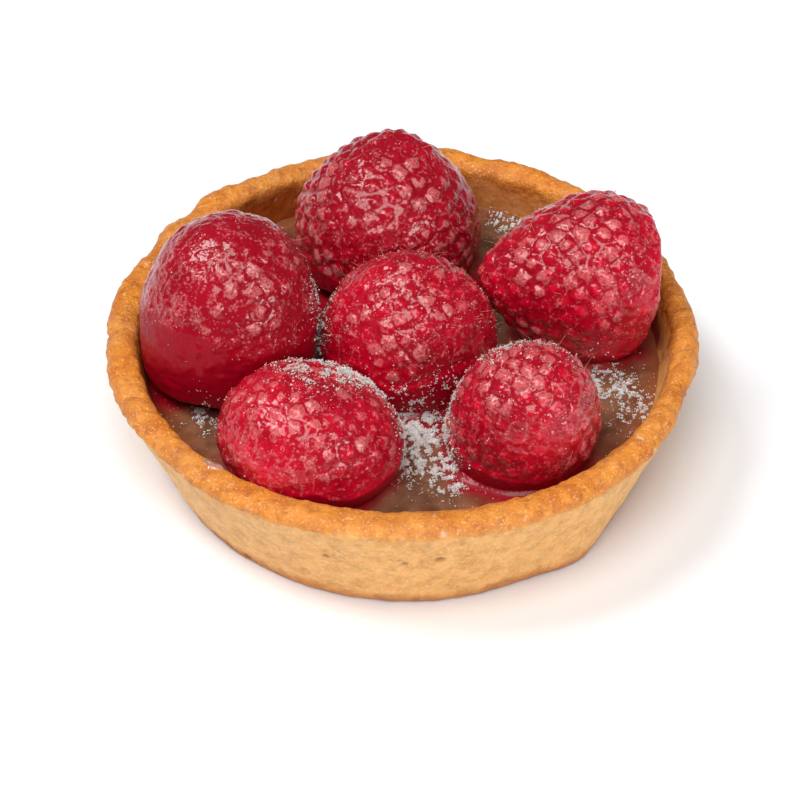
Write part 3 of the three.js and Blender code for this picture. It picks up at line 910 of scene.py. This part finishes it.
def make_filling():
    turn = np.linspace(0, 2 * math.pi, FILLING_SECTORS, endpoint=False)
    share = np.linspace(0.0005, 1, FILLING_RINGS) ** 0.75
    shares, turns = np.meshgrid(share[::-1], turn, indexing="ij")
    direction = np.stack([np.cos(turns).ravel(), np.sin(turns).ravel(), np.zeros(turns.size)], axis=1)
    points = direction * inner_radius(FILLING_EDGE) * shares.reshape(-1, 1) + AXIS + [0, 0, LEVEL]
    top, near, wall = filling_surface(points)
    spread = inner_radius(top) + INTO_WALL - inner_radius(FILLING_EDGE)
    points += direction * (spread * np.exp(-wall / 1.5))[:, None]
    points[:, 2] = top
    bottom, halfway = FLOOR_THICKNESS + FLOOR_GAP, 8
    outline = [(0.05, bottom), (inner_radius(bottom) - 2, bottom), (inner_radius(halfway), halfway)]
    x, y = np.cos(turn), np.sin(turn)
    sides = [
        np.stack([radius * x, radius * y, np.full(len(turn), height)], axis=1) + AXIS
        for radius, height in outline
    ]
    hidden = np.zeros(len(outline) * FILLING_SECTORS)
    ragged = near + 0.5 * crumbs(points, 1.7)
    juice = 0.9 * (1 - smooth(ragged, 0.1, 2.2)) + pool_at(points) * (1 - smooth(ragged, 1.5, 4.5))
    juice = np.concatenate([hidden, np.minimum(juice, 1)])
    browned = np.concatenate([hidden, 0.8 * np.exp(-wall / 2.2)])
    faces = ring_faces(FILLING_RINGS + len(outline), FILLING_SECTORS)
    return make_piece(
        "glazed_filling", np.concatenate(sides + [points]), faces, glazed_cream(), "filling", "filling",
        juice=juice, wall=browned,
    )


# Icing sugar, hairs and drops

def surface_points(piece):
    """The points, in millimetres, and the normals of a finished mesh."""
    mesh = piece.data
    points, normals = np.empty(len(mesh.vertices) * 3), np.empty(len(mesh.vertices) * 3)
    mesh.vertices.foreach_get("co", points)
    mesh.vertex_normals.foreach_get("vector", normals)
    return points.reshape(-1, 3) / MM, normals.reshape(-1, 3)


def sugar_heaps(points, normals):
    """How thick the sugar lies in heaps at each point, always in clumps."""
    flat = points - AXIS
    heaped = 0
    for x, y, z, spread, thickness in SUGAR_HEAPS:
        away = np.linalg.norm((flat - [x, y, z]) * [1, 1, 0.7], axis=1)
        heaped = heaped + thickness * np.exp(-((away / spread) ** 2))
    clumps = smooth(layered(points, SUGAR_CLUMPS), 0, 1)
    upward = np.clip(normals[:, 2] + 0.35, 0, 1)
    return heaped * clumps * upward * (points[:, 2] > SUGAR_FROM)


def make_sugar(berries, filling, rng):
    """Sugar crystals as small uneven tetrahedra on the berries and the filling. Each lies at a point
    drawn by weight, and the filling's weigh more toward its edge, where they are further apart."""
    spots, lifts, heaped, dusted = [], [], [], []
    dusts = [berry["dust"] for berry in BERRIES.values()] + [0.6]
    for piece, dust in zip(berries + [filling], dusts):
        points, normals = surface_points(piece)
        area = np.ones(len(points))
        if piece is filling:
            area = np.hypot(*(points - AXIS)[:, :2].T) / 12 + 0.2
        upward = np.clip(normals[:, 2] + 0.1, 0, 1) * (points[:, 2] > SUGAR_FROM)
        spots.append(points)
        lifts.append(normals)
        heaped.append(sugar_heaps(points, normals) * area)
        dusted.append(dust * upward * area * (0.3 + smooth(crumbs(points, 2.5), -0.3, 0.6)))
    spots, lifts = np.concatenate(spots), np.concatenate(lifts)
    heaped, dusted = np.concatenate(heaped), np.concatenate(dusted)
    in_heaps = rng.choice(len(spots), HEAPED_GRAINS, p=heaped / heaped.sum())
    alone = rng.choice(len(spots), DUSTING_GRAINS, p=dusted / dusted.sum())
    chosen = np.concatenate([in_heaps, alone])
    count = len(chosen)
    single = np.arange(count) >= HEAPED_GRAINS
    sizes = np.where(single, *GRAIN_SIZES) * rng.lognormal(0, 0.4, count).clip(0.45, 2.1)
    stray = np.where(single, *GRAIN_STRAYS)[:, None]
    wetted = np.clip(0.8 * single + rng.uniform(-0.2, 0.4, count), 0, 1)
    centres = spots[chosen] + rng.normal(0, 1, (count, 3)) * stray
    centres = centres + lifts[chosen] * sizes[:, None] * 0.9
    corners = np.array([[1, 1, 1], [1, -1, -1], [-1, 1, -1], [-1, -1, 1]]) / 1.3
    spin = np.linalg.qr(rng.normal(size=(count, 3, 3)))[0]
    uneven = rng.uniform(0.6, 1.3, (count, 4, 1))
    points = np.einsum("nij,nkj->nki", spin, corners * uneven) * sizes[:, None, None]
    points = points + centres[:, None, :]
    sides = np.array([[0, 1, 2], [0, 3, 1], [0, 2, 3], [1, 3, 2]])
    faces = sides[None] + 4 * np.arange(count)[:, None, None]
    make_piece(
        "icing_sugar", points.reshape(-1, 3), faces.reshape(-1, 3), icing_sugar(), "filling",
        wetted=np.repeat(wetted, 4),
    )


def tube(path, thickness):
    """Points and faces of a three-sided hair along a path, closed at both ends."""
    rings = []
    for index, point in enumerate(path):
        along = path[min(index + 1, len(path) - 1)] - path[max(index - 1, 0)]
        along = along / np.linalg.norm(along)
        side = np.cross(along, [0.3, 0.5, 0.81])
        side /= np.linalg.norm(side)
        other = np.cross(along, side)
        radius = thickness / 2 * (1 - 0.5 * index / (len(path) - 1))
        rings += [point + radius * (math.cos(a) * side + math.sin(a) * other) for a in (0, 2.1, 4.2)]
    faces = [[0, 2, 1], [len(rings) - 3, len(rings) - 2, len(rings) - 1]]
    for start in range(0, len(rings) - 3, 3):
        for n in range(3):
            near, after = start + n, start + (n + 1) % 3
            faces += [[near, after, after + 3], [near, after + 3, near + 3]]
    return rings, faces


def make_hairs(berries, rng):
    """Fine hairs that stand on the upper sides of the berries."""
    all_points, all_faces = [], []
    for piece, count in zip(berries, HAIRS):
        points, normals = surface_points(piece)
        weight = np.clip(normals[:, 2] + 0.2, 0, 1) ** 2 * (points[:, 2] > LEVEL + HAIRS_ABOVE)
        for index in rng.choice(len(points), count, p=weight / weight.sum()):
            direction = normals[index] + rng.normal(0, HAIR_STRAY, 3)
            direction /= np.linalg.norm(direction)
            bend = rng.normal(0, HAIR_BEND, 3)
            length = rng.uniform(*HAIR_LENGTHS)
            path = [points[index] + length * t * (direction + bend * t) for t in np.linspace(0, 1, 5)]
            rings, faces = tube(np.array(path), rng.uniform(*HAIR_THICKNESSES))
            all_faces += [[corner + len(all_points) for corner in face] for face in faces]
            all_points += rings
    make_piece("fine_hairs", np.array(all_points), all_faces, dried_style(), "raspberry")


def glaze_drop(name, angle, radius, height, size, material):
    """A flattened, uneven drop of glaze lying on the rim, long side round the case."""
    points, faces = unit_sphere(4)
    points *= 1 + 0.16 * crumbs(points * 3 + angle, 1.6)[:, None]
    points = points * size / 2
    turn = math.radians(angle)
    out = np.array([math.cos(turn), math.sin(turn), 0])
    along = np.array([-math.sin(turn), math.cos(turn), 0])
    placed = points[:, :1] * along + points[:, 1:2] * out + points[:, 2:] * np.array([0, 0, 1.0])
    placed += out * radius + [0, 0, height] + AXIS
    make_piece(name, placed, faces, material, "filling")


# Studio

def white_card():
    """Matt white card, very slightly uneven."""
    material, tree, surface, place = new_material("white_card", Roughness=0.9, Specular_IOR_Level=0.2)
    cloud = add(tree, "ShaderNodeTexNoise", {"Scale": per_metre(40)}, {"Vector": place})
    colour = add(
        tree, "ShaderNodeMix", {"data_type": "RGBA", 6: linear("#f6f8fb"), 7: linear("#f8fafd")},
        {0: cloud.outputs[0]},
    )
    tree.links.new(colour.outputs[2], surface.inputs["Base Color"])
    return material


def pale_floor(half=2.0):
    """A square of card, in metres from its middle to a side."""
    mesh = bpy.data.meshes.new("floor")
    corners = [(-half, -half, 0), (half, -half, 0), (half, half, 0), (-half, half, 0)]
    mesh.from_pydata(corners, [], [(0, 1, 2, 3)])
    mesh.materials.append(white_card())
    floor = bpy.data.objects.new("floor", mesh)
    bpy.context.collection.objects.link(floor)


def softbox(name, angle, elevation, distance, size, watts):
    """A round soft light that faces the tart, its distance and size in metres."""
    light = bpy.data.lights.new(name, "AREA")
    light.shape = "DISK"
    light.size = size
    light.energy = watts
    lamp = bpy.data.objects.new(name, light)
    turn, lift = math.radians(angle), math.radians(elevation)
    across = math.cos(lift)
    place = Vector((across * math.cos(turn), across * math.sin(turn), math.sin(lift))) * distance
    lamp.location = place
    lamp.rotation_euler = (-place).to_track_quat("-Z", "Y").to_euler()
    bpy.context.collection.objects.link(lamp)


def studio_world():
    """A dim, even surround, so that glossy fruit reflects the lights and little else."""
    world = bpy.data.worlds.new("studio")
    bpy.context.scene.world = world
    world.use_nodes = True
    world.node_tree.nodes["Background"].inputs["Color"].default_value = linear("#585858")


def studio():
    pale_floor()
    studio_world()
    softbox("key_left", angle=176, elevation=60, distance=2.4, size=0.9, watts=26.5)
    softbox("front_top", angle=-98, elevation=64, distance=2.6, size=1.7, watts=50.0)
    softbox("fill_right", angle=-48, elevation=20, distance=2.4, size=0.8, watts=17.0)
    bpy.context.scene.view_settings.view_transform = "Standard"


def photo_camera():
    camera = bpy.data.cameras.new("camera")
    camera.sensor_width = SENSOR_WIDTH
    camera.lens = FOCAL_PIXELS * SENSOR_WIDTH / IMAGE_WIDTH
    camera.clip_start = 0.01
    viewer = bpy.data.objects.new("camera", camera)
    bpy.context.collection.objects.link(viewer)
    down = math.radians(LOOK_DOWN)
    target = Vector((AXIS + LOOK_AT) * MM)
    viewer.location = target + CAMERA_DISTANCE * MM * Vector((0, -math.cos(down), math.sin(down)))
    viewer.rotation_euler = (target - viewer.location).to_track_quat("-Z", "Y").to_euler()
    bpy.context.scene.camera = viewer


studio()
photo_camera()
make_case()
glaze = make_filling()
sphere = unit_sphere(7)
flesh = glazed_raspberry()
rng = np.random.default_rng(21)
fruit = [
    make_raspberry(name, berry, seed, sphere, flesh)
    for seed, (name, berry) in enumerate(BERRIES.items())
]
make_sugar(fruit, glaze, rng)
make_hairs(fruit, rng)
jelly = clear_jelly()
glaze_drop(
    "glaze_drop_left", angle=-132.5, radius=34.6, height=17.4, size=(3.0, 2.0, 1.2), material=jelly,
)
glaze_drop(
    "glaze_drop_front", angle=-121.1, radius=34.3, height=17.2, size=(2.3, 1.3, 1.1), material=jelly,
)
